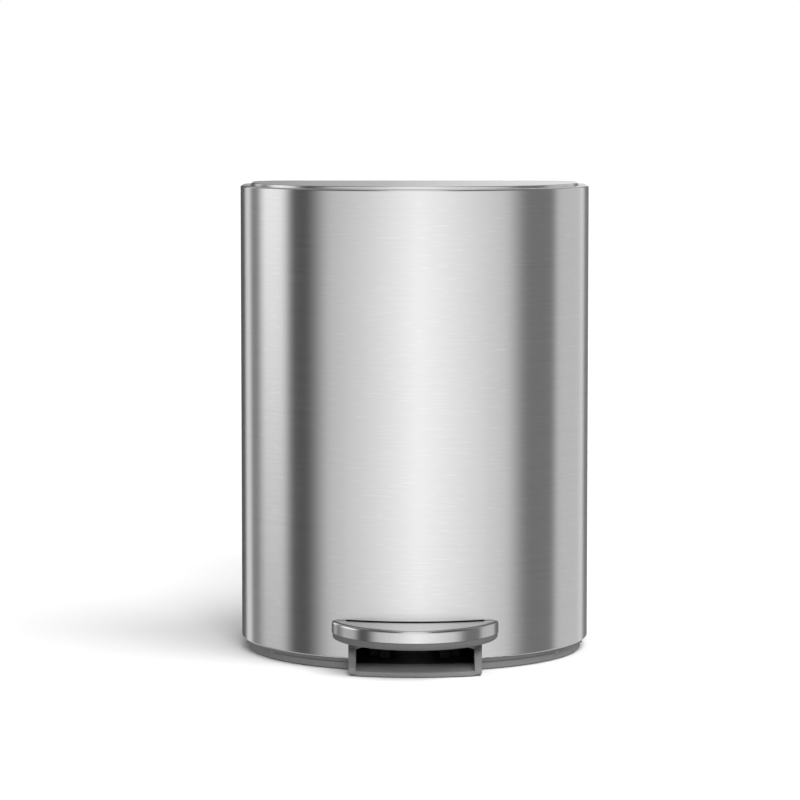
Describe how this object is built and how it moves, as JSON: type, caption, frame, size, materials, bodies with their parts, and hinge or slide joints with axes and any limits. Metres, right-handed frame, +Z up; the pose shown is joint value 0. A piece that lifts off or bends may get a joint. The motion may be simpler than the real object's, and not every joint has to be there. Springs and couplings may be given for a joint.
{
  "type": "semi-round pedal bin",
  "caption": "Semi-round stainless steel pedal bin with an inset lid, a grey base ring with a pedal frame, a hollow steel-capped pedal and a removable inner bucket.",
  "frame": {"origin": "on the floor, under the middle of the footprint that runs from the front of the pedal to the flat back", "axes": "+Z up, +X to the right seen from the front, +Y from the pedal towards the flat back"},
  "size_m": [0.286, 0.262, 0.3842],
  "materials": {
    "brushed_steel": "fine horizontal brushing",
    "plain_steel": "bright zinc",
    "grey_plastic": "satin",
    "black_plastic": "fine texture",
    "rubber": "matt"
  },
  "bodies": {
    "housing": {"body_shell": "brushed_steel", "base_ring": "grey_plastic", "floor_plate": "black_plastic", "rubber_feet": "rubber", "bucket_deck": "black_plastic", "deck_screws": "plain_steel", "floor_screws": "plain_steel", "pedal_axle": "plain_steel", "axle_clips": "plain_steel", "axle_spacers": "black_plastic", "rod_guides": "black_plastic", "guide_screws": "plain_steel", "damper_cylinder": "black_plastic", "rim_collar": "black_plastic", "hinge_bracket": "plain_steel", "hinge_screws": "plain_steel", "hinge_pin": "plain_steel", "lid_bumpers": "rubber"},
    "pedal": {"pedal_cap": "brushed_steel", "pedal_moulding": "grey_plastic", "pedal_lever": "plain_steel", "lever_screws": "plain_steel"},
    "push_rod": {"push_rod": "plain_steel", "damper_link": "plain_steel", "damper_piston": "plain_steel"},
    "lid": {"lid_skin": "brushed_steel", "lid_liner": "black_plastic", "lid_crank": "plain_steel", "crank_pin": "plain_steel", "crank_screws": "plain_steel"},
    "bucket": {"inner_bucket": "black_plastic"},
    "bucket_handle": {"bucket_handle": "plain_steel"}
  },
  "joints": [
    {"name": "lid_open", "type": "hinge", "parent": "housing", "child": "lid", "pos_m": [0, 0.115, 0.3802], "axis": [-1, 0, 0], "range_deg": [0, 80]},
    {"name": "pedal_press", "type": "hinge", "parent": "housing", "child": "pedal", "pos_m": [0, -0.019, 0.02], "axis": [1, 0, 0], "range_deg": [0, 7.75]},
    {"name": "rod_lift", "type": "slide", "parent": "housing", "child": "push_rod", "axis": [0, 0, 1], "range_m": [0, 0.01672]},
    {"name": "bucket_lift", "type": "slide", "parent": "housing", "child": "bucket", "axis": [0, 0, 1], "range_m": [0, 0.001]},
    {"name": "handle_swing", "type": "hinge", "parent": "bucket", "child": "bucket_handle", "pos_m": [0, 0.056, 0.3766], "axis": [-1, 0, 0], "range_deg": [0, 1]}
  ],
  "couplings": [
    {"joint": "pedal_press", "follows": "lid_open", "ratio": 0.0968},
    {"joint": "rod_lift", "follows": "lid_open", "m_per_rad": 0.011969}
  ]
}
